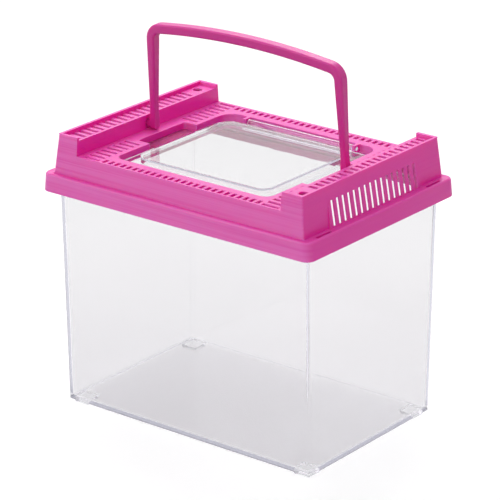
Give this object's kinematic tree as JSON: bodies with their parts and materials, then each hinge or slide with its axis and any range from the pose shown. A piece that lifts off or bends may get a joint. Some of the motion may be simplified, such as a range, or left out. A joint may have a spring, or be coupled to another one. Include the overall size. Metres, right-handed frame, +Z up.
{
  "type": "plastic pet keeper",
  "caption": "Clear box tank for small pets with a vented lid that clips over its rim, a hinged clear feeding hatch and a swinging carrying handle.",
  "frame": {"origin": "on the table under the centre of the tank, level with the bottoms of its feet", "axes": "+Z up, X along the length from one end tower to the other, +Y towards the back, where the hatch is hinged"},
  "size_m": [0.18, 0.131, 0.2149],
  "materials": {
    "clear_plastic": "clear moulded plastic, polished",
    "pink_plastic": "coloured moulded plastic, satin gloss"
  },
  "bodies": {
    "tank_body": {"tank": "clear_plastic"},
    "lid_body": {"lid": "pink_plastic"},
    "hatch_body": {"hatch": "clear_plastic"},
    "handle_body": {"handle": "pink_plastic"}
  },
  "joints": [
    {"name": "lid_lift", "type": "slide", "parent": "tank_body", "child": "lid_body", "axis": [0, 0, 1], "range_m": [0, 0.06]},
    {"name": "hatch_open", "type": "hinge", "parent": "lid_body", "child": "hatch_body", "pos_m": [0, 0.0464, 0.1463], "axis": [-1, 0, 0], "range_deg": [0, 43]},
    {"name": "handle_swing", "type": "hinge", "parent": "lid_body", "child": "handle_body", "pos_m": [0, 0, 0.1516], "axis": [1, 0, 0], "range_deg": [-93.2, 86.8]}
  ]
}
